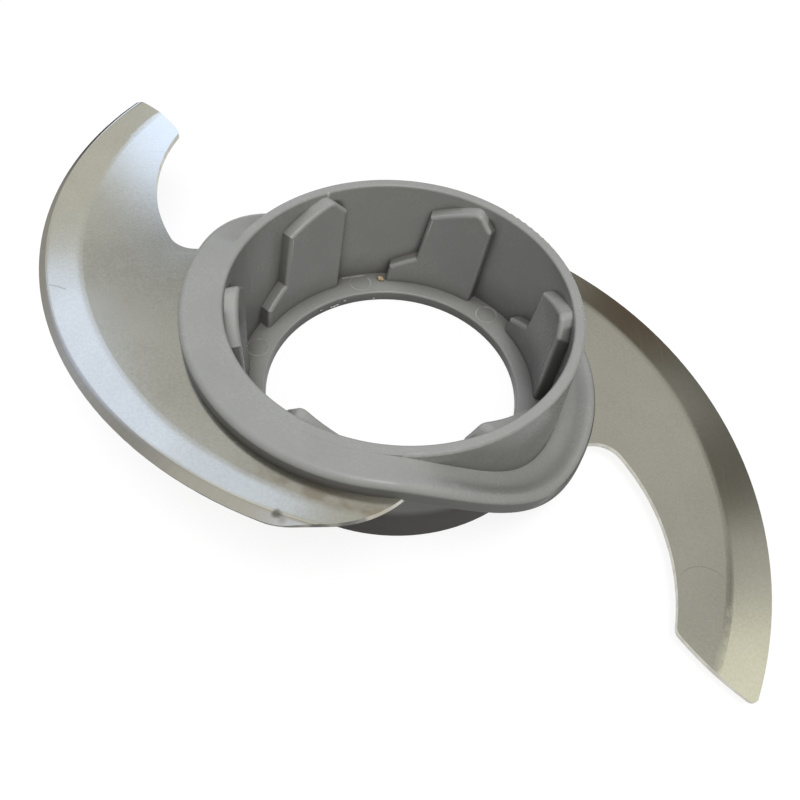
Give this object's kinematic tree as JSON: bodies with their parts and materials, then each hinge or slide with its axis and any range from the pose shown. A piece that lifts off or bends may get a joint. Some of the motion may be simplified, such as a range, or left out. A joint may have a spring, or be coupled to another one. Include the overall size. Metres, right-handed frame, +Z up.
{
  "type": "food processor blade",
  "caption": "Two curved steel chopping blades set at two heights in a round plastic hub with an open socket that has ribs on its wall, for a wide food processor bowl.",
  "frame": {"origin": "on the hub's spin axis, at the middle of the hub's flat bottom", "axes": "+Z up along the spin axis, out of the open socket; +X towards the lower blade's tip"},
  "size_m": [0.1694, 0.1042, 0.0267],
  "materials": {
    "hub_plastic": "satin mid grey moulded plastic",
    "upper_steel": "satin stainless steel, ground bevel and a honed edge",
    "lower_steel": "satin stainless steel with a ground bevel"
  },
  "bodies": {
    "root": {"hub": "hub_plastic", "upper_blade": "upper_steel", "lower_blade": "lower_steel"}
  },
  "joints": []
}
